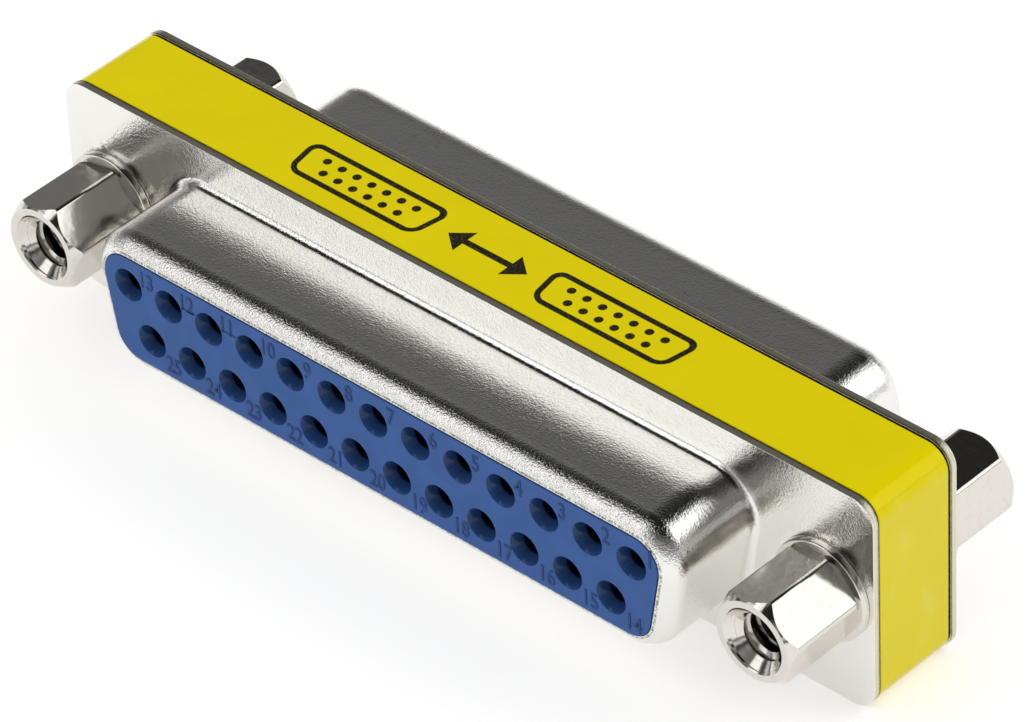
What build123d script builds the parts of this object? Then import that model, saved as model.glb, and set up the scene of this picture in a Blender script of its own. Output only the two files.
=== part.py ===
from build123d import *
import math
import os

# D-sub gender changer, 25 ways, socket to socket
# Two equal connectors stand back to back on a spacer. The rear one is the front one
# turned half a turn about the long axis, so its wide side is down.
# Millimetres. X runs along the length, the front mating face looks along -Y, Z is up.
# Pieces are drawn about the mating axis and lifted at the end to stand on Z = 0.

# Contact rows: their count and pitch drive every width below
contact_pitch = 2.77
row_spacing = 2.84
long_row_count = 13
short_row_count = 12
lead_in_diameter = 1.86
entry_diameter = 1.2
lead_in_depth = 0.62
entry_wall = 1.15
cavity_diameter = 1.75

# Shell: flange and D drawn from one sheet. The room is from the outer contacts to the D's outside,
# the reach from the D's ends to the screws, and the rims are the flange's beyond screws and D.
sheet = 0.43
shell_room = 2.58
screw_reach = 4.32
screw_hole = 3.05
flange_end_rim = 3.0
flange_side_rim = 2.275
flange_corner = 1.3
flange_edge_round = 0.12
shell_corner = 2.4
shell_slant = 10
shell_depth = 5.8
lip_radius = 1.2
lip_turn_in = 0.90
root_radius = 0.42

# Space between the flanges, and the wrap around it
flange_gap = 5.16
label_thickness = 0.1
label_inset = 0.05
label_margin = 0.1
label_seam = 0.3
end_ledge = 1.35
side_ledge = 1.4
window_corner = 2.0

# Insulator: its base is wider than the D by the two rims
face_stand_out = 0.02
insulator_clearance = 0.03
base_end_rim = 1.55
base_side_rim = 1.2
base_corner = 1.8
base_thickness = 1.3
pocket_clearance = 0.05

# Socket contact
barrel_diameter = 1.55
pin_bore = 1.02
pin_bore_depth = 4.6
barrel_end_gap = 0.1
slit_width = 0.22
slit_length = 3.2
collar_length = 0.8
strip_width = 0.7
strip_thickness = 0.3
strip_straight = 0.3

# Hexagonal posts, washers and their 4-40 thread
post_across_flats = 4.5
post_length = 4.75
post_chamfer_angle = 35
post_land = 4.4
post_foot = 4.8
thread_major = 2.845
thread_hole = 2.26
thread_mouth = 3.65
thread_mouth_angle = 90
post_hole_depth = 3.8
stud_engagement = 2.0
washer_thickness = 0.45
washer_diameter = 5.56
washer_hole = 3.1
front_left_turn = 12.0
front_right_turn = 12.0
rear_left_turn = 53.2
rear_right_turn = 45.9

# Widths and heights, from the contact rows outwards
shell_width = (long_row_count - 1) * contact_pitch + 2 * shell_room
shell_height = row_spacing + 2 * shell_room
screw_spacing = shell_width + 2 * screw_reach
flange_width = screw_spacing + 2 * flange_end_rim
flange_height = shell_height + 2 * flange_side_rim
base_width = shell_width + 2 * base_end_rim
base_height = shell_height + 2 * base_side_rim
window_width = base_width - 2 * end_ledge
window_height = base_height - 2 * side_ledge

# Distances from the middle plane
flange_back = flange_gap / 2
flange_face = flange_back + sheet
lip_front = flange_face + shell_depth
insulator_face = lip_front + face_stand_out
base_back = flange_back - base_thickness
washer_face = flange_face + washer_thickness
axis_height = flange_height / 2


# Sketches on a plane at a distance in front of the middle plane
def plane_at(distance):
    return Plane.XZ.offset(distance)


def d_outline(inset):
    width = shell_width - 2 * inset
    height = shell_height - 2 * inset
    corner = shell_corner - inset
    slant = math.radians(shell_slant)
    sharp_width = width + 2 * corner * (math.tan(slant) + 1 / math.cos(slant) - 1)
    top = sharp_width / 2
    bottom = top - height * math.tan(slant)
    outline = Polygon(
        (-top, height / 2),
        (-bottom, -height / 2),
        (bottom, -height / 2),
        (top, height / 2),
        align=None,
    )
    return fillet(outline.vertices(), radius=corner)


def flange_outline(inset=0.0):
    return RectangleRounded(flange_width - 2 * inset, flange_height - 2 * inset, flange_corner - inset)


def block(outline, start, end):
    return extrude(plane_at(start) * outline, amount=end - start)


def front_edges(solid):
    return solid.faces().sort_by(Axis.Y)[0].edges()


def screw_places():
    return [Pos(side * screw_spacing / 2, 0, 0) for side in (-1, 1)]


def screw_holes(diameter, start, end):
    return [place * block(Circle(diameter / 2), start, end) for place in screw_places()]


# Turned pieces: a profile of (radius, distance) points about the Y axis
def turned(points):
    profile = make_face(Polyline([(radius, -distance) for radius, distance in points], close=True))
    return revolve(profile, axis=Axis.Y)


# Pressed shell: flange, drawn D and rolled lip in one sheet
def shell():
    boss = block(d_outline(0), flange_back, lip_front)
    boss = fillet(front_edges(boss), radius=lip_radius)
    plate = block(flange_outline(), flange_back, flange_face)
    plate = fillet(front_edges(plate), radius=flange_edge_round)
    body = plate + boss
    body = fillet(root_edges(body), radius=root_radius)
    cavity = block(d_outline(sheet), flange_back, lip_front - sheet)
    cavity = fillet(front_edges(cavity), radius=lip_radius - sheet)
    opening = block(d_outline(lip_turn_in), flange_back, lip_front)
    return body - cavity - opening - screw_holes(screw_hole, flange_back, flange_face)


def root_edges(body):
    at_flange = body.edges().filter_by_position(Axis.Y, -flange_face, -flange_face)
    return at_flange.filter_by(lambda edge: abs(edge.center().X) < shell_width / 2)


# Moulded insulator: base plate behind the flange, nose in the shell, pad through the lip
def insulator():
    skin = sheet + insulator_clearance
    base = block(RectangleRounded(base_width, base_height, base_corner), base_back, flange_back)
    nose = block(d_outline(skin), flange_back, lip_front - skin)
    nose = fillet(front_edges(nose), radius=lip_radius - skin)
    pad = block(d_outline(lip_turn_in + insulator_clearance), flange_back, insulator_face)
    return base + nose + pad - [Pos(x, 0, z) * contact_cavity() for x, z in contact_places()]


def contact_cavity():
    cavity_end = insulator_face - entry_wall
    return turned([
        (0, base_back),
        (cavity_diameter / 2, base_back),
        (cavity_diameter / 2, cavity_end),
        (entry_diameter / 2, cavity_end),
        (entry_diameter / 2, insulator_face - lead_in_depth),
        (lead_in_diameter / 2, insulator_face),
        (0, insulator_face),
    ])


# Numbered as moulded on the front face: 1 to 13 above from the right, 14 to 25 below
def contact_places():
    upper = row(long_row_count, row_spacing / 2)
    lower = row(short_row_count, -row_spacing / 2)
    return upper + lower


def row(count, height):
    return [((count - 1) / 2 * contact_pitch - step * contact_pitch, height) for step in range(count)]


# Double-ended socket contact. Its strip crosses to the other row, because the rear
# connector is upside down. Drawn with its front barrel at the given row.
def contact(x, z):
    front = Pos(x, 0, z) * barrel()
    rear = Pos(x, 0, -z) * barrel().rotate(Axis.X, 180)
    return front + rear + Pos(x, 0, 0) * crossing_strip(z)


def barrel():
    tip = insulator_face - entry_wall - barrel_end_gap
    tube = turned([
        (0, base_back),
        (cavity_diameter / 2, base_back),
        (cavity_diameter / 2, base_back + collar_length),
        (barrel_diameter / 2, base_back + collar_length),
        (barrel_diameter / 2, tip),
        (pin_bore / 2, tip),
        (pin_bore / 2, tip - pin_bore_depth),
        (0, tip - pin_bore_depth),
    ])
    slit = block(Rectangle(slit_width, barrel_diameter + 1), tip - slit_length, tip)
    return tube - slit


def crossing_strip(z):
    bend = base_back - strip_straight
    path = Polyline([(-base_back, z), (-bend, z), (bend, -z), (base_back, -z)])
    ribbon = trace(Plane.YZ * path, line_width=strip_thickness)
    return extrude(ribbon, amount=strip_width / 2, both=True)


# Moulded spacer between the flanges: pockets for the two bases, window for the strips
def spacer():
    body = block(flange_outline(label_inset + label_thickness), -flange_back, flange_back)
    pocket_outline = RectangleRounded(
        base_width + 2 * pocket_clearance, base_height + 2 * pocket_clearance, base_corner + pocket_clearance
    )
    front_pocket = block(pocket_outline, base_back, flange_back)
    rear_pocket = block(pocket_outline, -flange_back, -base_back)
    window_outline = RectangleRounded(window_width, window_height, window_corner)
    window = block(window_outline, -flange_back, flange_back)
    return body - front_pocket - rear_pocket - window - screw_holes(screw_hole, -flange_back, flange_back)


# Wrap label: one strip round the spacer, its ends a seam apart underneath
def label():
    edge = flange_back - label_margin
    outside = block(flange_outline(label_inset), -edge, edge)
    inside = block(flange_outline(label_inset + label_thickness), -edge, edge)
    seam = Pos(0, 0, -flange_height / 2) * Box(label_seam, 2 * edge, 1)
    return outside - inside - seam


# Hexagonal post, standing on its washer. A double cone chamfers its corners at both ends.
def post_body(turn):
    end = washer_face + post_length
    middle = washer_face + post_length / 2
    widening = post_length / 2 * math.tan(math.radians(post_chamfer_angle))
    hexagon = RegularPolygon(post_across_flats / 2, 6, major_radius=False, rotation=turn)
    double_cone = turned([
        (0, washer_face),
        (post_foot / 2, washer_face),
        (post_foot / 2 + widening, middle),
        (post_land / 2 + widening, middle),
        (post_land / 2, end),
        (0, end),
    ])
    return block(hexagon, washer_face, end) & double_cone


def threaded_mouth():
    end = washer_face + post_length
    depth = (thread_mouth - thread_hole) / 2 / math.tan(math.radians(thread_mouth_angle / 2))
    return turned([
        (0, end - depth),
        (thread_hole / 2, end - depth),
        (thread_mouth / 2, end),
        (0, end),
    ])


# Front posts carry the stud that goes through to the rear posts
def front_post(turn):
    end = washer_face + post_length
    stud = block(Circle(thread_major / 2), -washer_face - stud_engagement, washer_face)
    hole = block(Circle(thread_hole / 2), end - post_hole_depth, end)
    return post_body(turn) + stud - hole - threaded_mouth()


def rear_post(turn):
    end = washer_face + post_length
    hole = block(Circle(thread_hole / 2), washer_face, end)
    seat = block(Circle(thread_major / 2), washer_face, washer_face + stud_engagement)
    return post_body(-turn) - hole - seat - threaded_mouth()


def washer():
    ring = Circle(washer_diameter / 2) - Circle(washer_hole / 2)
    return block(ring, flange_face, washer_face)


# What stands at the rear is drawn in front and turned half a turn about the length
def to_rear(piece):
    return piece.rotate(Axis.X, 180)


def pieces():
    left, right = screw_places()
    front_shell = shell()
    front_insulator = insulator()
    nodes = {
        "front_shell": front_shell,
        "rear_shell": to_rear(front_shell),
        "front_insulator": front_insulator,
        "rear_insulator": to_rear(front_insulator),
        "spacer": spacer(),
        "wrap_label": label(),
        "front_post_left": left * front_post(front_left_turn),
        "front_post_right": right * front_post(front_right_turn),
        "rear_post_left": to_rear(left * rear_post(rear_left_turn)),
        "rear_post_right": to_rear(right * rear_post(rear_right_turn)),
        "front_washer_left": left * washer(),
        "front_washer_right": right * washer(),
        "rear_washer_left": to_rear(left * washer()),
        "rear_washer_right": to_rear(right * washer()),
    }
    for number, (x, z) in enumerate(contact_places(), start=1):
        nodes[f"contact_{number:02d}"] = contact(x, z)
    return nodes


os.makedirs("parts", exist_ok=True)
for name, solid in pieces().items():
    export_step(Pos(0, 0, axis_height) * solid, f"parts/{name}.step")
    print(name, round(solid.volume, 3))
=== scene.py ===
import bmesh
import bpy
import math
from bmesh.types import BMEdge, BMFace, BMVert
from mathutils import Matrix, Vector


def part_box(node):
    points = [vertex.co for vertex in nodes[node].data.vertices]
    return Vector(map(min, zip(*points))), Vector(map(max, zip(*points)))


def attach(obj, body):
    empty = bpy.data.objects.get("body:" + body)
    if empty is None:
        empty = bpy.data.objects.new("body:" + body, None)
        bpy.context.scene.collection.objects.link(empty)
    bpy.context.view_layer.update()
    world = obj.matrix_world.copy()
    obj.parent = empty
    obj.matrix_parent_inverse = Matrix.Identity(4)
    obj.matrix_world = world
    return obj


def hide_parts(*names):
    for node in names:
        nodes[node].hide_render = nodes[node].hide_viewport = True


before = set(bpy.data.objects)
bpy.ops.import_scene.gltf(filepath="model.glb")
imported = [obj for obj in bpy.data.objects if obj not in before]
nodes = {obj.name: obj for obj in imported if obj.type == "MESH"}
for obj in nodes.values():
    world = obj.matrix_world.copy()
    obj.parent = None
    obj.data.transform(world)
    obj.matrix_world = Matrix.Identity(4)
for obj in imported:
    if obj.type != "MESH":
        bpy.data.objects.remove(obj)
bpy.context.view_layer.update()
print("frame loaded,", len(nodes), "nodes")

# Sizes in the dictionaries are in millimetres and degrees, places in the meshes in metres.
mm = 0.001
weld = 1e-7  # vertices that lie closer are one, in metres
sharpTurn = 1  # radians between two faces whose edge gets a round
contactPitch = 2.77
rowSpacing = 2.84

# Places that several pieces share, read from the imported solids, in metres.
# A distance is counted from the middle plane towards the front or the rear face.
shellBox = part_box("front_shell")
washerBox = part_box("front_washer_right")
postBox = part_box("front_post_right")
axisHeight = (shellBox[0].z + shellBox[1].z) / 2
flangeWidth = shellBox[1].x - shellBox[0].x
flangeHeight = shellBox[1].z - shellBox[0].z
flangeBack = -shellBox[1].y
flangeFace = -washerBox[1].y
washerFace = -washerBox[0].y
postEnd = -postBox[0].y
screwPlace = (washerBox[0].x + washerBox[1].x) / 2
lipFront = -shellBox[0].y
insulatorFace = -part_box("front_insulator")[0].y


# small helpers for meshes

def only(kind, made):
    return [g for g in made if isinstance(g, kind)]


def liesAt(edge, distance, near=weld):
    return all(abs(abs(v.co.y) - distance) < near for v in edge.verts)


def isSharp(edge, angle=sharpTurn):
    return len(edge.link_faces) == 2 and edge.calc_face_angle() > angle


def loopFrom(edge):
    # this edge and every one joined to it end to end
    found = [edge]
    for near in found:
        for vert in near.verts:
            found += [e for e in vert.link_edges if e not in found and not e.link_faces]
    return found


def arcLoop(bm, corners, distance, perDegree=0.13):
    # closed loop round the corners (x, z, radius, start, sweep), seen from the front
    ends = []
    for x, z, radius, start, sweep in corners:
        a = math.radians(start)
        first = bm.verts.new((x + radius * math.cos(a), -distance, z + radius * math.sin(a)))
        steps = max(2, round(sweep * perDegree))
        arc = bmesh.ops.spin(bm, geom=[first], cent=(x, -distance, z), axis=(0, -1, 0),
                             angle=math.radians(sweep), steps=steps, use_duplicate=False)
        ends.append((first, only(BMVert, arc["geom_last"])[0]))
    joins = [bm.edges.new((ends[i - 1][1], ends[i][0])) for i in range(len(ends))]
    return loopFrom(joins[0])


def circleLoop(bm, x, z, radius, distance, segments=64):
    turn = Matrix.Translation((x, -distance, z)) @ Matrix.Rotation(math.pi / 2, 4, "X")
    made = bmesh.ops.create_circle(bm, cap_ends=False, segments=segments, radius=radius, matrix=turn)
    return list(dict.fromkeys(e for v in made["verts"] for e in v.link_edges))


def bevelEdges(bm, edges, width, segments):
    bmesh.ops.bevel(bm, geom=edges, offset=width * mm, offset_type="OFFSET", segments=segments, profile=0.5,
                    affect="EDGES", clamp_overlap=False, material=-1)


def spun(points, closed=False, segments=96):
    # full turn of a profile of (radius, distance) points, in millimetres
    bm = bmesh.new()
    verts = [bm.verts.new((radius * mm, -distance * mm, 0)) for radius, distance in points]
    edges = [bm.edges.new(pair) for pair in zip(verts, verts[1:])]
    if closed:
        edges.append(bm.edges.new((verts[-1], verts[0])))
    bmesh.ops.spin(bm, geom=edges, cent=(0, 0, 0), axis=(0, 1, 0), angle=2 * math.pi, steps=segments,
                   use_merge=True)
    bmesh.ops.remove_doubles(bm, verts=bm.verts, dist=weld)
    bmesh.ops.recalc_face_normals(bm, faces=bm.faces)
    bm.normal_update()
    return bm


def addPiece(name, bm, material, replaced=(), rear=False, smooth=35):
    # Pieces are made about the mating axis. A rear one is turned half a turn about the long axis.
    if rear:
        half = Matrix.Rotation(math.pi, 3, "X")
        bmesh.ops.rotate(bm, verts=bm.verts, cent=(0, 0, 0), matrix=half)
    bmesh.ops.translate(bm, verts=bm.verts, vec=(0, 0, axisHeight))
    mesh = bpy.data.meshes.new(name)
    bm.to_mesh(mesh)
    bm.free()
    mesh.shade_smooth()
    mesh.set_sharp_from_angle(angle=math.radians(smooth))
    piece = bpy.data.objects.new(name, mesh)
    bpy.context.scene.collection.objects.link(piece)
    mesh.materials.append(material)
    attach(piece, "root")
    if replaced:
        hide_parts(*replaced)
    return piece


def addModifier(piece, kind, **settings):
    modifier = piece.modifiers.new(kind.title(), kind)
    for key, value in settings.items():
        setattr(modifier, key, value)


def evenShading(piece):
    addModifier(piece, "WEIGHTED_NORMAL", keep_sharp=True)


def thickenSheet(piece, thickness, edgeRound, segments, sharp=50):
    # the skin gets its thickness inwards, and every edge sharper than the angle is rounded
    addModifier(piece, "SOLIDIFY", thickness=thickness * mm, offset=-1, use_even_offset=True)
    addModifier(piece, "BEVEL", width=edgeRound * mm, segments=segments, limit_method="ANGLE",
                angle_limit=math.radians(sharp))
    evenShading(piece)


# shader maths: a wire is one output of a node, and sums with wires add Math nodes

class Wire:
    def __init__(self, paint, out):
        self.paint = paint
        self.out = out

    def maths(self, operation, *values):
        return self.paint.node("ShaderNodeMath", {"operation": operation}, values)

    def __add__(self, other):
        return self.maths("ADD", self, other)

    __radd__ = __add__

    def __sub__(self, other):
        return self.maths("SUBTRACT", self, other)

    def __rsub__(self, other):
        return self.maths("SUBTRACT", other, self)

    def __mul__(self, other):
        return self.maths("MULTIPLY", self, other)

    def __truediv__(self, other):
        return self.maths("DIVIDE", self, other)

    def __abs__(self):
        return self.maths("ABSOLUTE", self)

    def least(self, other):
        return self.maths("MINIMUM", self, other)

    def most(self, other):
        return self.maths("MAXIMUM", self, other)

    def root(self):
        return self.maths("SQRT", self)

    def part(self):
        # what is left after the whole number
        return self.maths("FRACT", self)

    def step(self, low, high):
        # 0 below low, 1 above high, smooth between
        values = {"Value": self, "From Min": low, "From Max": high}
        return self.paint.node("ShaderNodeMapRange", {"interpolation_type": "SMOOTHSTEP"}, values)

    def over(self, limit, soft):
        # 1 above the limit, 0 below it
        return self.step(limit - soft, limit + soft)

    def under(self, limit, soft):
        return 1 - self.over(limit, soft)


class Paint:
    # a material or the world, with methods that add nodes to it
    def __init__(self, owner):
        owner.use_nodes = True
        self.owner = owner
        self.tree = owner.node_tree
        self.tree.nodes.clear()

    def node(self, kind, settings=None, values=(), out=0):
        made = self.tree.nodes.new(kind)
        for key, value in (settings or {}).items():
            if key == "stops":
                self.setStops(made.color_ramp, value)
            else:
                setattr(made, key, value)
        pairs = values.items() if isinstance(values, dict) else enumerate(values)
        for key, value in pairs:
            if isinstance(value, Wire):
                self.tree.links.new(value.out, made.inputs[key])
            else:
                made.inputs[key].default_value = value
        return Wire(self, made.outputs[out]) if len(made.outputs) else None

    def setStops(self, ramp, stops):
        while len(ramp.elements) < len(stops):
            ramp.elements.new(0.5)
        for element, (position, colour) in zip(ramp.elements, stops):
            element.position = position
            element.color = (*colour, 1)

    def place(self, output="Object"):
        return self.node("ShaderNodeTexCoord", out=output)

    def axes(self, vector):
        split = self.tree.nodes.new("ShaderNodeSeparateXYZ")
        self.tree.links.new(vector.out, split.inputs[0])
        return [Wire(self, o) for o in split.outputs]

    def stretch(self, vector, x, y, z):
        return self.node("ShaderNodeMapping", {}, {"Vector": vector, "Scale": (x, y, z)})

    def noise(self, vector, size, detail=2.0, rough=0.5):
        # size is the width of one grain, in millimetres
        values = {"Vector": vector, "Scale": 1 / (size * mm), "Detail": detail, "Roughness": rough}
        return self.node("ShaderNodeTexNoise", {}, values)

    def mix(self, factor, first, second):
        a, b = (c if isinstance(c, Wire) else (*c, 1) for c in (first, second))
        return self.node("ShaderNodeMix", {"data_type": "RGBA"}, {0: factor, 6: a, 7: b}, out=2)

    def facing(self):
        # how much the surface looks along each axis, without sign
        return [abs(w) for w in self.axes(self.node("ShaderNodeNewGeometry", out="Normal"))]

    def ramp(self, value, stops, tint=(1, 1, 1)):
        # stops are (place, brightness), all of one tint
        coloured = [(t, tuple(v * c for c in tint)) for t, v in stops]
        return self.node("ShaderNodeValToRGB", {"stops": coloured}, {"Fac": value})

    def bump(self, height):
        # height in millimetres
        return self.node("ShaderNodeBump", {}, {"Height": height, "Distance": mm, "Strength": 1.0})

    def ray(self, kind):
        return self.node("ShaderNodeLightPath", out=f"Is {kind} Ray")

    def finish(self, values):
        shader = self.node("ShaderNodeBsdfPrincipled", {}, values)
        self.node("ShaderNodeOutputMaterial", {}, {"Surface": shader})
        return self.owner


def newPaint(name):
    return Paint(bpy.data.materials.new(name))


# nickel on pressed sheet: orange peel that breaks the edges of reflections, dull on the cut edges, with
# painted shade and a painted highlight across the cut edges and a painted shadow line behind the lip
sheetFinish = {
    "colour": (0.87, 0.86, 0.83),
    "roughness": 0.11,
    "cloud": 0.6,
    "cloudRoughness": 0.12,
    "edgeRoughness": 0.28,  # added on the cut edges
    "grain": 0.14,
    "grainDepth": 0.012,
    "fineGrain": 0.08,
    "fineDepth": 0.0085,
    "wave": 1.8,
    "waveDepth": 0.012,
    "streak": 0.09,
    "streakStretch": 0.06,
    "streakDepth": 0.0035,
    "roll": (0.7, 1.5),  # behind the lip's front the coarse grain fades out
    "rollGrain": 0.11,
    "rollDepth": 0.030,
    "cutFacing": (0.3, 0.6),  # cut edges face forwards less than this
    "cutEnd": (0.95, 1.02),  # share of the sheet's thickness
    # painted shading across the cut edge, by share of the thickness: painted shade at the back by the label,
    # painted highlight towards the front, with a painted reflection tint
    "cutShadeAndHighlight": [(0.0, 0.02), (0.10, 0.04), (0.18, 0.50), (0.55, 0.80), (0.70, 0.62), (0.88, 0.85)],
    "cutReflectionTint": (1, 0.94, 0.76),
    "burr": 0.10,
    "burrStretch": 0.35,
    "burrDepth": 0.02,
    "burrTone": 0.22,
    "lipShadowBand": (0.015, 0.055),  # a broken painted shadow line behind the lip's front
    "lipShadowSoft": 0.012,
    "lipShadowBreaks": (0.35, 0.6),
    "lipShadowStrength": 0.85,
    "lipShadowColour": (0.13, 0.11, 0.085),
    "pit": 0.17,
    "pitLevel": (0.80, 0.84),
    "pitColour": (0.16, 0.13, 0.10),
}


def nickelSheet():
    f = sheetFinish
    p = newPaint("nickelSheet")
    spot = p.place()
    y = p.axes(spot)[1]
    through = (abs(y) - flangeBack) / (flangeFace - flangeBack)
    cut = (1 - p.facing()[1].step(*f["cutFacing"])) * (1 - through.step(*f["cutEnd"]))
    behindLip = (lipFront - abs(y)) / mm
    roll = 1 - behindLip.step(*f["roll"])
    grain = p.noise(spot, f["grain"], rough=0.55)
    fine = p.noise(spot, f["fineGrain"], rough=0.6)
    wave = p.noise(spot, f["wave"], detail=1)
    streak = p.noise(p.stretch(spot, f["streakStretch"], 1, 1), f["streak"], detail=3, rough=0.6)
    burr = p.noise(p.stretch(spot, 1, f["burrStretch"], 1), f["burr"], detail=3, rough=0.7)
    coarse = p.noise(spot, f["rollGrain"], rough=0.6)
    height = grain * f["grainDepth"] + fine * f["fineDepth"]
    height = height + wave * f["waveDepth"] + streak * f["streakDepth"]
    height = height + burr * cut * f["burrDepth"] + coarse * roll * f["rollDepth"]
    # painted shade at the back of the cut edge and painted highlight towards the front, the band's edges
    # broken by the burr
    paintedShading = p.ramp(through + (burr - 0.5) * f["burrTone"], f["cutShadeAndHighlight"], f["cutReflectionTint"])
    pits = p.noise(spot, f["pit"], detail=1).step(*f["pitLevel"])
    colour = p.mix(pits, f["colour"], f["pitColour"])
    # painted shadow: a broken dark line just behind the lip's front
    start, end = f["lipShadowBand"]
    line = behindLip.over(start, f["lipShadowSoft"]) * behindLip.under(end, f["lipShadowSoft"])
    line = line * coarse.step(*f["lipShadowBreaks"]) * f["lipShadowStrength"]
    colour = p.mix(line, colour, f["lipShadowColour"])
    cloud = (p.noise(spot, f["cloud"], detail=3) - 0.5) * f["cloudRoughness"]
    return p.finish({
        "Base Color": p.mix(cut, colour, paintedShading),
        "Metallic": 1.0,
        "Roughness": f["roughness"] + cloud + cut * f["edgeRoughness"],
        "Normal": p.bump(height),
    })


# bright nickel on turned brass: rings on the ends, fine lines along the flats, painted shade in the bore
turnedFinish = {
    "colour": (0.73, 0.70, 0.655),
    "endRoughness": 0.12,
    "flatRoughness": 0.14,
    "endFacing": (0.35, 0.6),
    "ring": 0.10,
    "ringDepth": 0.008,
    "grain": 0.07,
    "grainStretch": 0.12,
    "grainDepth": 0.0016,
    "peel": 0.5,
    "peelDepth": 0.006,
    "pit": 0.22,
    "pitLevel": (0.79, 0.83),
    "pitDark": 0.7,
    "pitColour": (0.16, 0.13, 0.11),
    "stain": 0.4,
    "stainLevel": (0.50, 0.80),
    "stainDark": 0.35,
    "stainColour": (0.50, 0.46, 0.42),
    "bore": 1.43,  # radius
    "boreSoft": 0.03,
    "boreDepth": (0.40, 2.2),
    # painted shade in the bore
    "boreShadeStrength": 0.85,
    "boreShadeColour": (0.10, 0.085, 0.07),
}


def turnedNickel():
    f = turnedFinish
    p = newPaint("turnedNickel")
    spot = p.place()
    x, y, z = p.axes(spot)
    side = abs(x) - screwPlace
    up = z - axisHeight
    radius = (side * side + up * up).root()
    end = p.facing()[1].step(*f["endFacing"])
    fromAxis = p.node("ShaderNodeCombineXYZ", {}, (radius, 0.0, 0.0))
    rings = p.noise(fromAxis, f["ring"], detail=3, rough=0.7)
    grain = p.noise(p.stretch(spot, 1, f["grainStretch"], 1), f["grain"], detail=3)
    peel = p.noise(spot, f["peel"], detail=1)
    height = rings * end * f["ringDepth"] + grain * (1 - end) * f["grainDepth"]
    height = height + peel * f["peelDepth"]
    stain = p.noise(spot, f["stain"], detail=4, rough=0.7).step(*f["stainLevel"])
    colour = p.mix(stain * f["stainDark"], f["colour"], f["stainColour"])
    # painted shade down the bore, darker with depth behind the post's end
    inside = (radius / mm).under(f["bore"], f["boreSoft"]) * ((postEnd - abs(y)) / mm).step(*f["boreDepth"])
    colour = p.mix(inside * f["boreShadeStrength"], colour, f["boreShadeColour"])
    pits = p.noise(spot, f["pit"], detail=1).step(*f["pitLevel"])
    return p.finish({
        "Base Color": p.mix(pits * f["pitDark"], colour, f["pitColour"]),
        "Metallic": 1.0,
        "Roughness": f["flatRoughness"] + end * (f["endRoughness"] - f["flatRoughness"]),
        "Normal": p.bump(height),
    })


# blue moulding: matt face, glossier down the funnels, with painted shade that darkens the funnels and bores
# with depth and painted shade on the raised numerals
blueFinish = {
    "colour": (0.036, 0.114, 0.362),
    "paler": 1.12,
    "cloud": 1.8,
    "cloudLevel": (0.35, 0.7),
    # painted shade on the raised numerals
    "numeralShade": (0.020, 0.055, 0.20),
    "numeralDepth": (-0.02, -0.005),
    "faceDepth": (0.01, 0.04),
    "faceRoughness": 0.50,
    "funnelRoughness": 0.13,
    "specular": 0.27,
    "grain": 0.09,
    "grainDepth": 0.004,
    "grainRoughness": 0.08,
    # painted shade: the funnels and bores darker with depth below the face
    "depthShade": [(0.0, 1.0), (0.03, 0.52), (0.55, 0.34), (0.70, 0.05), (1.0, 0.02)],
}


def blueMoulding():
    f = blueFinish
    p = newPaint("blueMoulding")
    spot = p.place()
    depth = (insulatorFace - abs(p.axes(spot)[1])) / mm
    onFace = 1 - depth.step(*f["faceDepth"])
    raised = 1 - depth.step(*f["numeralDepth"])
    grain = p.noise(spot, f["grain"])
    rough = f["funnelRoughness"] + onFace * (f["faceRoughness"] - f["funnelRoughness"])
    paler = [c * f["paler"] for c in f["colour"]]
    plain = p.mix(p.noise(spot, f["cloud"]).step(*f["cloudLevel"]), f["colour"], paler)
    # painted shade, darker with depth down the holes
    paintedShading = p.ramp(depth, f["depthShade"])
    shaded = p.node("ShaderNodeVectorMath", {"operation": "MULTIPLY"}, (plain, paintedShading))
    return p.finish({
        # the raised numerals get painted shade
        "Base Color": p.mix(raised, shaded, f["numeralShade"]),
        "Roughness": rough + (grain - 0.5) * f["grainRoughness"],
        "Specular IOR Level": f["specular"],
        "Normal": p.bump(grain * onFace * f["grainDepth"]),
    })


# satin yellow film with plain marks printed on top: two sockets and an arrow between them, and a patchy
# painted highlight on the right end
labelFinish = {
    "colour": (0.89, 0.74, 0.0),
    "paler": (0.92, 0.77, 0.0),
    "cloud": 3.0,
    "cloudLevel": (0.3, 0.75),
    "roughness": 0.16,
    "roughnessCloud": 0.8,
    "roughnessRange": 0.06,
    "inkRoughness": 0.1,
    "specular": 0.55,
    "specularTint": (1.0, 0.9, 0.12, 1),
    "peel": 0.5,
    "peelDepth": 0.0015,
    "endHighlight": 1.4,  # a patchy painted highlight on the right end
    "endHighlightLevel": (0.52, 0.75),
    "endHighlightStretch": 0.5,
    "endHighlightFrom": (26.0, 26.4),
    "endHighlightStrength": 0.3,
    "endHighlightColour": (0.97, 0.88, 0.16),
    "topFacing": (0.9, 0.98),
    "ink": (0.012, 0.011, 0.010),
    "inkGrain": 0.12,
    "inkLevel": (0.3, 0.5),
    "inkThin": 0.07,
    "soft": 0.03,  # how soft a printed edge is
    "middle": (-0.3, -0.1),
    "socketPlace": 8.1,
    "socketHalf": (4.3, 1.15),
    "socketCorner": 0.6,
    "socketSlant": 0.17,
    "line": 0.17,  # half of a drawn line's width
    "dotPitch": 1.0,
    "dotRow": 0.42,
    "dotRadius": 0.24,
    "dotReach": ((3.46, 3.54), (2.96, 3.04)),  # the ends of the upper and of the lower row
    "arrowHalf": 2.6,
    "arrowTip": (-0.02, 0.02),  # these three are counted from the tip
    "arrowBase": (1.1, 1.15),
    "shaftFrom": (0.5, 0.6),
    "arrowSlope": 0.8,
    "shaftHalf": 0.2,
}


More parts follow.
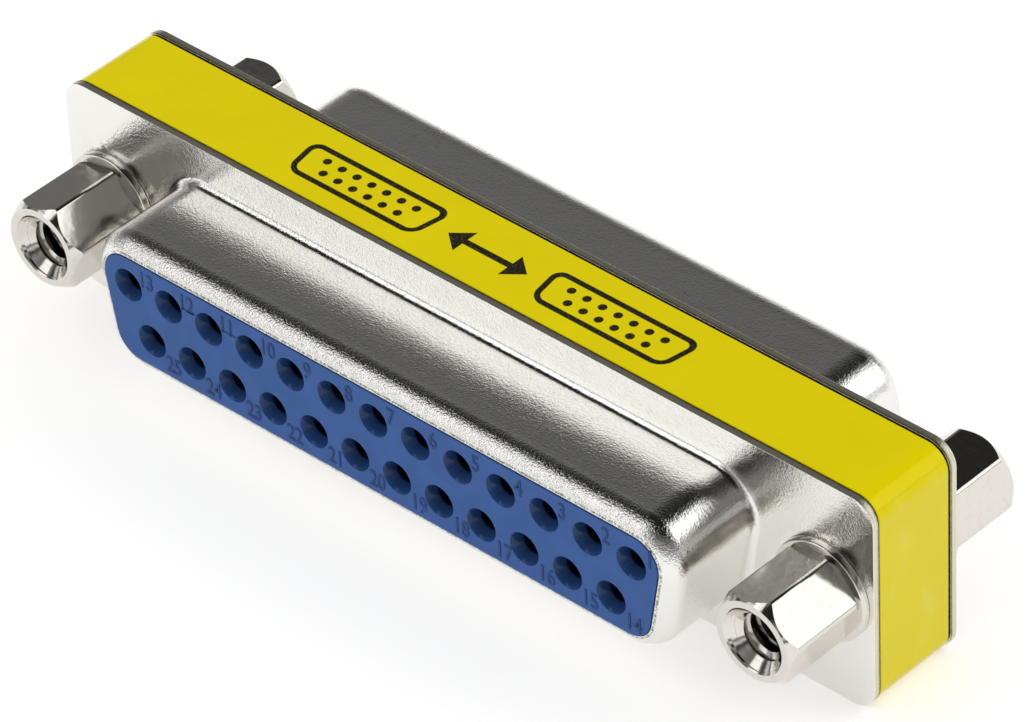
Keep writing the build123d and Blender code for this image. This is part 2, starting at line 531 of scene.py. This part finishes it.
def printedMarks(p, x, y):
    # ink mask from distances in millimetres on the top of the label
    f = labelFinish
    soft = f["soft"]
    u = x / mm - f["middle"][0]
    v = y / mm - f["middle"][1]
    away = abs(u) - f["socketPlace"]
    wide, high = (h - f["socketCorner"] for h in f["socketHalf"])
    across = abs(away) - wide - v * f["socketSlant"]
    over = abs(v) - high
    outside = (across.most(0.0) * across.most(0.0) + over.most(0.0) * over.most(0.0)).root()
    rim = outside + across.most(over).least(0.0) - f["socketCorner"]
    outline = abs(rim).under(f["line"], soft)
    upper = v.over(0, 0.01)
    count = away / f["dotPitch"] + upper * 0.5
    toDot = (count.part() - 0.5) * f["dotPitch"]
    toRow = abs(v) - f["dotRow"]
    dots = (toDot * toDot + toRow * toRow).root().under(f["dotRadius"], soft)
    upperEnd, lowerEnd = (abs(away).step(*reach) for reach in f["dotReach"])
    dots = dots * (1 - (upperEnd * upper + lowerEnd * (1 - upper)))
    along = f["arrowHalf"] - abs(u)
    shaft = abs(v).under(f["shaftHalf"], soft) * along.step(*f["shaftFrom"])
    head = (abs(v) - along * f["arrowSlope"]).under(0, soft) * (1 - along.step(*f["arrowBase"]))
    head = head * along.step(*f["arrowTip"])
    return outline.most(dots).most(shaft).most(head)


def yellowFilm():
    f = labelFinish
    p = newPaint("yellowFilm")
    spot = p.place()
    x, y, z = p.axes(spot)
    onTop = p.facing()[2].step(*f["topFacing"]) * z.step(axisHeight, axisHeight + mm)
    thin = p.noise(spot, f["inkGrain"]).step(*f["inkLevel"]) * f["inkThin"]
    ink = printedMarks(p, x, y) * onTop * (1 - f["inkThin"] + thin)
    film = p.mix(p.noise(spot, f["cloud"]).step(*f["cloudLevel"]), f["colour"], f["paler"])
    # painted highlight: patchy paler film on the right end
    endHighlight = p.noise(p.stretch(spot, 1, 1, f["endHighlightStretch"]), f["endHighlight"], detail=3)
    endHighlight = endHighlight.step(*f["endHighlightLevel"]) * (x / mm).step(*f["endHighlightFrom"])
    film = p.mix(endHighlight * f["endHighlightStrength"], film, f["endHighlightColour"])
    rough = (p.noise(spot, f["roughnessCloud"]) - 0.5) * f["roughnessRange"]
    return p.finish({
        "Base Color": p.mix(ink, film, f["ink"]),
        "Roughness": f["roughness"] + rough + ink * f["inkRoughness"],
        "Specular IOR Level": f["specular"],
        "Specular Tint": f["specularTint"],
        "Normal": p.bump(p.noise(spot, f["peel"]) * f["peelDepth"]),
    })


# plain black moulding of the spacer, and gold flash on the contacts
hiddenFinishes = {
    "darkMoulding": {
        "colours": ((0.008, 0.008, 0.008), (0.02, 0.019, 0.018)),
        "cloud": 0.4,
        "metallic": 0.0,
        "roughness": 0.55,
        "roughnessCloud": 0.3,
        "roughnessRange": 0.2,
        "grain": 0.06,
        "grainDepth": 0.004,
    },
    "goldFlash": {
        "colours": ((0.80, 0.58, 0.26), (0.88, 0.68, 0.36)),
        "cloud": 0.3,
        "metallic": 1.0,
        "roughness": 0.28,
        "roughnessCloud": 0.2,
        "roughnessRange": 0.1,
        "grain": 0.05,
        "grainDepth": 0.001,
    },
}


def hiddenPaint(name):
    f = hiddenFinishes[name]
    p = newPaint(name)
    spot = p.place()
    rough = (p.noise(spot, f["roughnessCloud"]) - 0.5) * f["roughnessRange"]
    return p.finish({
        "Base Color": p.mix(p.noise(spot, f["cloud"]), *f["colours"]),
        "Metallic": f["metallic"],
        "Roughness": f["roughness"] + rough,
        "Normal": p.bump(p.noise(spot, f["grain"]) * f["grainDepth"]),
    })


nickelSheetPaint = nickelSheet()
turnedNickelPaint = turnedNickel()
bluePaint = blueMoulding()
yellowPaint = yellowFilm()
darkPaint = hiddenPaint("darkMoulding")
goldPaint = hiddenPaint("goldFlash")
print("finishes made")


# pressed shell: flange, drawn D and rolled lip as one skin, thickened to the sheet

shellForm = {
    "sheet": 0.43,
    "width": 38.4,
    "height": 8.0,
    "corner": 2.4,
    "slant": 10,
    "depth": 5.8,
    "lipRadius": 1.2,
    "lipSegments": 12,
    "lipCut": 0.025,
    "rootRadius": 0.42,
    "rootSegments": 6,
    "rootFlat": 0.7,
    "flangeCorner": 1.3,
    "screwHole": 3.05,
    "edgeRound": 0.11,
    "edgeSegments": 3,
}


def dCorners(outset):
    f = shellForm
    radius = (f["corner"] + outset) * mm
    slant = math.radians(f["slant"])
    top = (f["width"] / 2 - f["corner"]) * mm
    inner = (f["height"] - 2 * f["corner"]) * mm
    bottom = top - inner * math.tan(slant)
    high = inner / 2
    turn = 90 + f["slant"]
    return [
        (top, high, radius, -f["slant"], turn),
        (-top, high, radius, 90, turn),
        (-bottom, -high, radius, 90 + turn, 180 - turn),
        (bottom, -high, radius, 270, 180 - turn),
    ]


def flangeCorners(inset=0.0):
    radius = (shellForm["flangeCorner"] - inset) * mm
    x = flangeWidth / 2 - inset * mm - radius
    z = flangeHeight / 2 - inset * mm - radius
    signs = ((1, 1), (-1, 1), (-1, -1), (1, -1))
    return [(x * sx, z * sz, radius, 90 * i, 90) for i, (sx, sz) in enumerate(signs)]


def makeShell(end):
    f = shellForm
    bm = bmesh.new()
    ring = arcLoop(bm, dCorners(f["rootFlat"]), flangeFace)
    face = bmesh.ops.contextual_create(bm, geom=ring)["faces"][0]
    bmesh.ops.inset_region(bm, faces=[face], thickness=f["rootFlat"] * mm, use_even_offset=True,
                           use_boundary=True)
    drawn = bmesh.ops.extrude_face_region(bm, geom=[face])["geom"]
    bmesh.ops.translate(bm, verts=only(BMVert, drawn), vec=(0, -f["depth"] * mm, 0))
    bmesh.ops.delete(bm, geom=[face], context="FACES_ONLY")
    bm.normal_update()
    bevelEdges(bm, list(only(BMFace, drawn)[0].edges), f["lipRadius"], f["lipSegments"])
    root = [e for e in bm.edges if isSharp(e) and liesAt(e, flangeFace)]
    bevelEdges(bm, root, f["rootRadius"], f["rootSegments"])

    # the lip is open in front, and the flange fills what is left between the D and its outline
    tip = flangeFace + (f["depth"] - f["lipCut"]) * mm
    bmesh.ops.delete(bm, geom=[v for v in bm.verts if -v.co.y > tip], context="VERTS")
    borders = [e for e in bm.edges if e.is_boundary and liesAt(e, flangeFace)]
    borders += arcLoop(bm, flangeCorners(), flangeFace)
    for side in (-1, 1):
        borders += circleLoop(bm, side * screwPlace, 0, f["screwHole"] / 2 * mm, flangeFace)
    bmesh.ops.triangle_fill(bm, use_beauty=True, use_dissolve=False, edges=borders, normal=(0, -1, 0))
    bmesh.ops.remove_doubles(bm, verts=bm.verts, dist=weld)
    bmesh.ops.recalc_face_normals(bm, faces=bm.faces)
    bm.normal_update()
    # the skin looks forwards, so the thickness goes behind it
    if sum(g.normal.y * g.calc_area() for g in bm.faces) > 0:
        bmesh.ops.reverse_faces(bm, faces=bm.faces)
    piece = addPiece(end + "ShellSheet", bm, nickelSheetPaint, [end + "_shell"],
                     end == "rear")
    thickenSheet(piece, f["sheet"], f["edgeRound"], f["edgeSegments"])


makeShell("front")
makeShell("rear")
print("shells made")


# insulators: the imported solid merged, with the mouths of the holes broken

insulatorForm = {
    "merge": 0.002,
    "flat": 0.5,
    "rimTurn": 0.5,  # radians, as for sharpTurn
    "rimRound": 0.03,
    "rimSegments": 2,
}


def makeInsulator(end):
    f = insulatorForm
    node = end + "_insulator"
    near = f["merge"] * mm
    bm = bmesh.new()
    bm.from_mesh(nodes[node].data)
    bmesh.ops.remove_doubles(bm, verts=bm.verts, dist=near)
    bmesh.ops.dissolve_limit(bm, angle_limit=math.radians(f["flat"]), verts=bm.verts, edges=bm.edges)
    bm.normal_update()
    rims = [e for e in bm.edges if isSharp(e, f["rimTurn"]) and liesAt(e, insulatorFace, near)]
    bevelEdges(bm, rims, f["rimRound"], f["rimSegments"])
    bmesh.ops.translate(bm, verts=bm.verts, vec=(0, 0, -axisHeight))
    piece = addPiece(end + "InsulatorMoulding", bm, bluePaint, [node], smooth=25)
    evenShading(piece)


makeInsulator("front")
makeInsulator("rear")
print("insulators made")


# plain numerals of the contacts, raised on the front face, two of them with a bar to the next hole

numeralForm = {
    "tall": 0.95,
    "digitShare": 0.70,  # height of a digit in a font of size 1
    "narrow": 0.78,
    "bold": 0.014,
    "raised": 0.03,
    "upper": (1.19, 0.80),  # from the hole's middle
    "lower": (1.32, -0.88),
    "tenShift": 0.10,
    "barred": (12, 11),
    "barFrom": 0.95,
    "barTo": 1.85,
    "barHeight": 0.44,
    "barThick": 0.07,
}


def addNumeral(bm, text, x, z):
    f = numeralForm
    curve = bpy.data.curves.new("temp", "FONT")
    curve.body = text
    curve.align_x = "CENTER"
    curve.align_y = "CENTER"
    curve.size = f["tall"] / f["digitShare"]
    curve.extrude = f["raised"]
    curve.offset = f["bold"]
    made = bpy.data.objects.new("temp", curve)
    bpy.context.scene.collection.objects.link(made)
    bpy.context.view_layer.update()
    mesh = bpy.data.meshes.new_from_object(made.evaluated_get(bpy.context.evaluated_depsgraph_get()))
    size = Matrix.Diagonal((f["narrow"] * mm, mm, mm, 1))
    turn = Matrix.Rotation(math.pi / 2, 4, "X")
    mesh.transform(Matrix.Translation((x * mm, -insulatorFace, z * mm)) @ turn @ size)
    bm.from_mesh(mesh)
    bpy.data.objects.remove(made)
    bpy.data.curves.remove(curve)
    bpy.data.meshes.remove(mesh)


def addBar(bm, x, z):
    f = numeralForm
    middle = x + (f["barFrom"] + f["barTo"]) / 2
    at = Vector((middle * mm, -insulatorFace, (z + f["barHeight"]) * mm))
    size = (f["barTo"] - f["barFrom"], 2 * f["raised"], f["barThick"])
    cube = Matrix.Translation(at) @ Matrix.Diagonal((*(s * mm for s in size), 1))
    bmesh.ops.create_cube(bm, size=1, matrix=cube)


def makeNumerals():
    f = numeralForm
    bm = bmesh.new()
    rows = ((13, 1, rowSpacing / 2, f["upper"]), (25, 14, -rowSpacing / 2, f["lower"]))
    for first, last, z, (right, up) in rows:
        for number in range(first, last - 1, -1):
            x = ((first + last) / 2 - number) * contactPitch
            shift = f["tenShift"] if number > 9 else 0
            addNumeral(bm, str(number), x + right + shift, z + up)
            if number in f["barred"]:
                addBar(bm, x, z)
    bmesh.ops.remove_doubles(bm, verts=bm.verts, dist=weld)
    addPiece("contactNumerals", bm, bluePaint)


makeNumerals()
print("numerals made")


# wrap label: a strip round the spacer, its ends a seam apart underneath

labelForm = {
    "inset": 0.05,
    "thickness": 0.1,
    "margin": 0.1,
    "seam": 0.3,
    "edgeRound": 0.03,
    "edgeSegments": 2,
}


def makeLabel():
    f = labelForm
    bm = bmesh.new()
    reach = flangeBack - f["margin"] * mm
    loop = arcLoop(bm, flangeCorners(f["inset"]), reach)
    wall = bmesh.ops.extrude_edge_only(bm, edges=loop)["geom"]
    bmesh.ops.translate(bm, verts=only(BMVert, wall), vec=(0, 2 * reach, 0))
    half = f["seam"] / 2 * mm
    for x in (-half, half):
        bmesh.ops.bisect_plane(bm, geom=bm.verts[:] + bm.edges[:] + bm.faces[:], plane_co=(x, 0, 0),
                               plane_no=(1, 0, 0))
    middles = {g: g.calc_center_median() for g in bm.faces}
    gap = [g for g, middle in middles.items() if middle.z < 0 and abs(middle.x) < half]
    bmesh.ops.delete(bm, geom=gap, context="FACES")
    bmesh.ops.recalc_face_normals(bm, faces=bm.faces)
    # the film looks outwards, so the thickness goes inside it
    if sum(g.normal.z * g.calc_center_median().z for g in bm.faces) < 0:
        bmesh.ops.reverse_faces(bm, faces=bm.faces)
    piece = addPiece("wrapLabelFilm", bm, yellowPaint, ["wrap_label"])
    thickenSheet(piece, f["thickness"], f["edgeRound"], f["edgeSegments"])


makeLabel()
print("label made")


# hexagonal posts: a hexagon cut by a double cone, a countersunk bore, and a thread in it

postForm = {
    "acrossFlats": 4.5,
    "edgeRound": 0.16,
    "edgeSegments": 5,
    "flat": 0.3,
    "land": 4.4,  # flat ring at the outer end
    "foot": 4.8,
    "chamfer": 35,
    "coneStep": 0.01,
    "mouth": 3.65,
    "mouthRun": 0.2,  # the cutter goes on past the end
    "boreDepth": 3.8,
    "major": 2.845,
    "minor": 2.26,
    "pitch": 0.635,
    "perTurn": 48,
    "threadFoot": 0.01,  # the ridge starts inside the wall
    "threadShares": (7 / 16, 1 / 8),  # half of foot and crest, in pitches
    "threadTrim": 0.012,
    "threadEnd": 0.05,
    "coneReach": 0.3,
    "turns": {"front_left": 12.0, "front_right": 12.0, "rear_left": 53.2, "rear_right": 45.9},
}


def tempObject(bm):
    mesh = bpy.data.meshes.new("temp")
    bm.to_mesh(mesh)
    bm.free()
    made = bpy.data.objects.new("temp", mesh)
    bpy.context.scene.collection.objects.link(made)
    return made


def combine(first, second, operation):
    # exact boolean of two closed shapes, as a new bmesh
    a, b = tempObject(first), tempObject(second)
    addModifier(a, "BOOLEAN", operation=operation, solver="EXACT", object=b)
    bpy.context.view_layer.update()
    result = bpy.data.meshes.new_from_object(a.evaluated_get(bpy.context.evaluated_depsgraph_get()))
    bm = bmesh.new()
    bm.from_mesh(result)
    for made in (a, b):
        bpy.data.objects.remove(made)
    bpy.data.meshes.remove(result)
    return bm


def hexagon(turn, start, end):
    # first corner at the turn, counted from the long axis
    f = postForm
    bm = bmesh.new()
    corner = f["acrossFlats"] / math.sqrt(3) * mm
    at = Matrix.Translation((0, -(start + end) / 2, 0)) @ Matrix.Rotation(math.pi / 2, 4, "X")
    at = at @ Matrix.Rotation(math.radians(turn - 30), 4, "Z")
    bmesh.ops.create_cone(bm, cap_ends=True, segments=6, radius1=corner, radius2=corner, depth=end - start,
                          matrix=at)
    bm.normal_update()
    sides = [e for e in bm.edges if abs(e.verts[0].co.y - e.verts[1].co.y) > (end - start) / 2]
    bevelEdges(bm, sides, f["edgeRound"], f["edgeSegments"])
    bmesh.ops.recalc_face_normals(bm, faces=bm.faces)
    return bm


def postShape(turn):
    f = postForm
    start, end = washerFace / mm, postEnd / mm
    middle = (start + end) / 2
    widening = (end - start) / 2 * math.tan(math.radians(f["chamfer"]))
    foot, land, mouth, major = (f[k] / 2 for k in ("foot", "land", "mouth", "major"))
    cones = spun([(0, start), (foot, start), (foot + widening, middle),
                  (land + widening, middle + f["coneStep"]), (land, end), (0, end)])
    run = f["mouthRun"]
    bore = spun([(0, end - f["boreDepth"]), (major, end - f["boreDepth"]), (major, end - (mouth - major)),
                 (mouth, end), (mouth + run, end + run), (0, end + run)])
    bm = combine(hexagon(turn, washerFace, postEnd), cones, "INTERSECT")
    return combine(bm, bore, "DIFFERENCE")


def addThread(bm):
    # a ridge wound up the bore, its crest trimmed where the countersink passes
    f = postForm
    major, minor, mouth = (f[k] / 2 * mm for k in ("major", "minor", "mouth"))
    pitch = f["pitch"] * mm
    depth = f["boreDepth"] * mm
    foot = major + f["threadFoot"] * mm
    low, high = f["threadShares"]
    before = set(bm.verts)
    lift = postEnd + pitch / 2
    profile = [bm.verts.new((r, -(lift - s * pitch), 0)) for r, s in
               ((foot, -low), (minor, -high), (minor, high), (foot, low))]
    edges = [bm.edges.new((profile[i], profile[(i + 1) % 4])) for i in range(4)]
    bmesh.ops.contextual_create(bm, geom=edges)
    count = round((depth / pitch + 1) * f["perTurn"])
    made = bmesh.ops.spin(bm, geom=edges, cent=(0, 0, 0), axis=(0, -1, 0), dvec=(0, pitch / f["perTurn"], 0),
                          angle=-2 * math.pi * count / f["perTurn"], steps=count, use_duplicate=False)
    bmesh.ops.contextual_create(bm, geom=only(BMEdge, made["geom_last"]))
    ridge = {v for v in bm.verts if v not in before}
    widest = foot + f["coneReach"] * mm
    for v in ridge:
        radius = math.hypot(v.co.x, v.co.z)
        cone = mouth - (postEnd + v.co.y) + f["threadTrim"] * mm
        grow = max(radius, min(cone, widest)) / radius
        y = max(min(v.co.y, depth - postEnd), f["threadEnd"] * mm - postEnd)
        v.co = Vector((v.co.x * grow, y, v.co.z * grow))
    bmesh.ops.recalc_face_normals(bm, faces=[g for g in bm.faces if ridge.issuperset(g.verts)])


def makePost(end, side):
    rear = end == "rear"
    turn = postForm["turns"][f"{end}_{side}"]
    # a rear post is turned over later, so its hexagon starts the other way round
    bm = postShape(-turn if rear else turn)
    bmesh.ops.remove_doubles(bm, verts=bm.verts, dist=weld)
    bmesh.ops.dissolve_limit(bm, angle_limit=math.radians(postForm["flat"]), verts=bm.verts,
                             edges=bm.edges)
    addThread(bm)
    x = -screwPlace if side == "left" else screwPlace
    bmesh.ops.translate(bm, verts=bm.verts, vec=(x, 0, 0))
    piece = addPiece(f"{end}Post{side.title()}", bm, turnedNickelPaint, [f"{end}_post_{side}"],
                     rear, smooth=25)
    evenShading(piece)


# washers: a flat ring with broken edges

washerForm = {"outside": 5.56, "hole": 3.1, "edgeRound": 0.1, "edgeSegments": 4}


def makeWasher(end, side):
    f = washerForm
    hole, outside = f["hole"] / 2, f["outside"] / 2
    back, front = flangeFace / mm, washerFace / mm
    bm = spun([(hole, back), (outside, back), (outside, front), (hole, front)], closed=True)
    bevelEdges(bm, [e for e in bm.edges if isSharp(e)], f["edgeRound"], f["edgeSegments"])
    x = -screwPlace if side == "left" else screwPlace
    bmesh.ops.translate(bm, verts=bm.verts, vec=(x, 0, 0))
    piece = addPiece(f"{end}Washer{side.title()}", bm, turnedNickelPaint,
                     [f"{end}_washer_{side}"], end == "rear")
    evenShading(piece)


screws = [(end, side) for end in ("front", "rear") for side in ("left", "right")]
for end, side in screws:
    makePost(end, side)
print("posts made")
for end, side in screws:
    makeWasher(end, side)
print("washers made")


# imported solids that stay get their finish
for name, node in nodes.items():
    if name == "spacer" or name.startswith("contact_"):
        node.data.materials.clear()
        node.data.materials.append(darkPaint if name == "spacer" else goldPaint)


# floor, lamps and world

lamps = {
    # glow is the brightness of the lamp's face, 1 is white, and size and place are in metres
    "key": {"glow": 1.08, "size": (0.38, 0.66), "place": (-0.380, -0.572, 0.421), "lean": 25},
    "rim": {"glow": 1.35, "size": (0.70, 0.64), "place": (0.516, 0.573, 0.482), "lean": 0},
    "top": {"glow": 1.3, "size": (0.26, 0.20), "place": (-0.200, -0.450, 0.755), "lean": 0},
}

studio = {
    "floor": (0.90, 0.895, 0.88),
    "floorHalf": 3,  # metres
    "floorGlow": 0.42,  # lifts the floor for the camera
    "floorShine": 0.37,  # and in reflections
    "aim": (0, 0, 0.006),  # metres
    "fill": (0.61, 0.61, 0.61),  # what matt surfaces get from the world
    "backdrop": (1.0, 1.0, 1.0),
    # what the metal mirrors, from the horizon at 0.5 up, behind the part and before it
    "behind": [(0.50, 1.0), (0.53, 0.85), (0.56, 0.42), (0.60, 0.19),
               (0.70, 0.15), (0.82, 0.13), (0.89, 0.012)],
    "before": [(0.50, 0.14), (0.54, 0.12), (0.57, 0.70), (0.605, 0.80), (0.635, 0.05),
               (0.69, 0.03), (0.73, 0.32), (0.80, 0.20), (0.87, 0.012)],
    "border": (-0.25, 0.15),
}


def makeFloor():
    bm = bmesh.new()
    bmesh.ops.create_grid(bm, x_segments=1, y_segments=1, size=studio["floorHalf"])
    mesh = bpy.data.meshes.new("floor")
    bm.to_mesh(mesh)
    bm.free()
    floor = bpy.data.objects.new("floor", mesh)
    bpy.context.scene.collection.objects.link(floor)
    p = newPaint("floorPaint")
    diffuse = p.node("ShaderNodeBsdfDiffuse", {}, {"Color": (*studio["floor"], 1)})
    strength = p.ray("Camera") * studio["floorGlow"] + p.ray("Glossy") * studio["floorShine"]
    glow = p.node("ShaderNodeEmission", {}, {"Color": (1, 1, 1, 1), "Strength": strength})
    both = p.node("ShaderNodeAddShader", {}, (diffuse, glow))
    p.node("ShaderNodeOutputMaterial", {}, {"Surface": both})
    mesh.materials.append(p.owner)


def makeLight(name):
    # the lamp leans about its own beam
    f = lamps[name]
    lamp = bpy.data.lights.new(name + "Light", "AREA")
    lamp.shape = "RECTANGLE"
    lamp.size, lamp.size_y = f["size"]
    lamp.energy = f["glow"] * math.pi * lamp.size * lamp.size_y
    made = bpy.data.objects.new(name + "Light", lamp)
    made.location = f["place"]
    beam = Vector(studio["aim"]) - Vector(f["place"])
    turn = beam.to_track_quat("-Z", "Y").to_matrix() @ Matrix.Rotation(math.radians(f["lean"]), 3, "Z")
    made.rotation_euler = turn.to_euler()
    bpy.context.scene.collection.objects.link(made)


def makeWorld():
    p = Paint(bpy.data.worlds.new("studioWorld"))
    bpy.context.scene.world = p.owner
    x, y, z = p.axes(p.place("Generated"))
    height = z * 0.5 + 0.5
    behind, before = (p.ramp(height, studio[k]) for k in ("behind", "before"))
    mirrored = p.mix(y.step(*studio["border"]), before, behind)
    colour = p.mix(p.ray("Glossy").most(p.ray("Transmission")), studio["fill"], mirrored)
    colour = p.mix(p.ray("Camera"), colour, studio["backdrop"])
    sky = p.node("ShaderNodeBackground", {}, {"Color": colour, "Strength": 1.0})
    p.node("ShaderNodeOutputWorld", {}, {"Surface": sky})


makeFloor()
for name in lamps:
    makeLight(name)
makeWorld()
print("studio made")


# camera: aimed beside the middle of the front face, from the photograph's side

view = {
    "azimuth": 44.3028,
    "elevation": 38.3571,
    "roll": -2.8483,
    "distance": 342.362,
    "right": 6.64026,
    "up": 3.97748,
    "focal": 7112.888,  # pixels
    "frameWidth": 1025,  # pixels
    "sensor": 36,
    "clip": (0.01, 20),  # metres
}


def makeCamera():
    v = view
    az, el, roll = (math.radians(v[k]) for k in ("azimuth", "elevation", "roll"))
    back = Vector((math.sin(az) * math.cos(el), -math.cos(az) * math.cos(el), math.sin(el)))
    level = Vector((math.cos(az), math.sin(az), 0))
    above = back.cross(level)
    right = level * math.cos(roll) + above * math.sin(roll)
    up = above * math.cos(roll) - level * math.sin(roll)
    target = Vector((0, -insulatorFace, axisHeight))
    lens = bpy.data.cameras.new("camera")
    lens.sensor_width = v["sensor"]
    lens.lens = v["focal"] / v["frameWidth"] * v["sensor"]
    lens.clip_start, lens.clip_end = v["clip"]
    made = bpy.data.objects.new("camera", lens)
    made.location = target + (right * v["right"] + up * v["up"] + back * v["distance"]) * mm
    made.rotation_euler = Matrix((right, up, back)).transposed().to_euler()
    bpy.context.scene.collection.objects.link(made)
    bpy.context.scene.camera = made


makeCamera()
bpy.context.scene.view_settings.view_transform = "Standard"
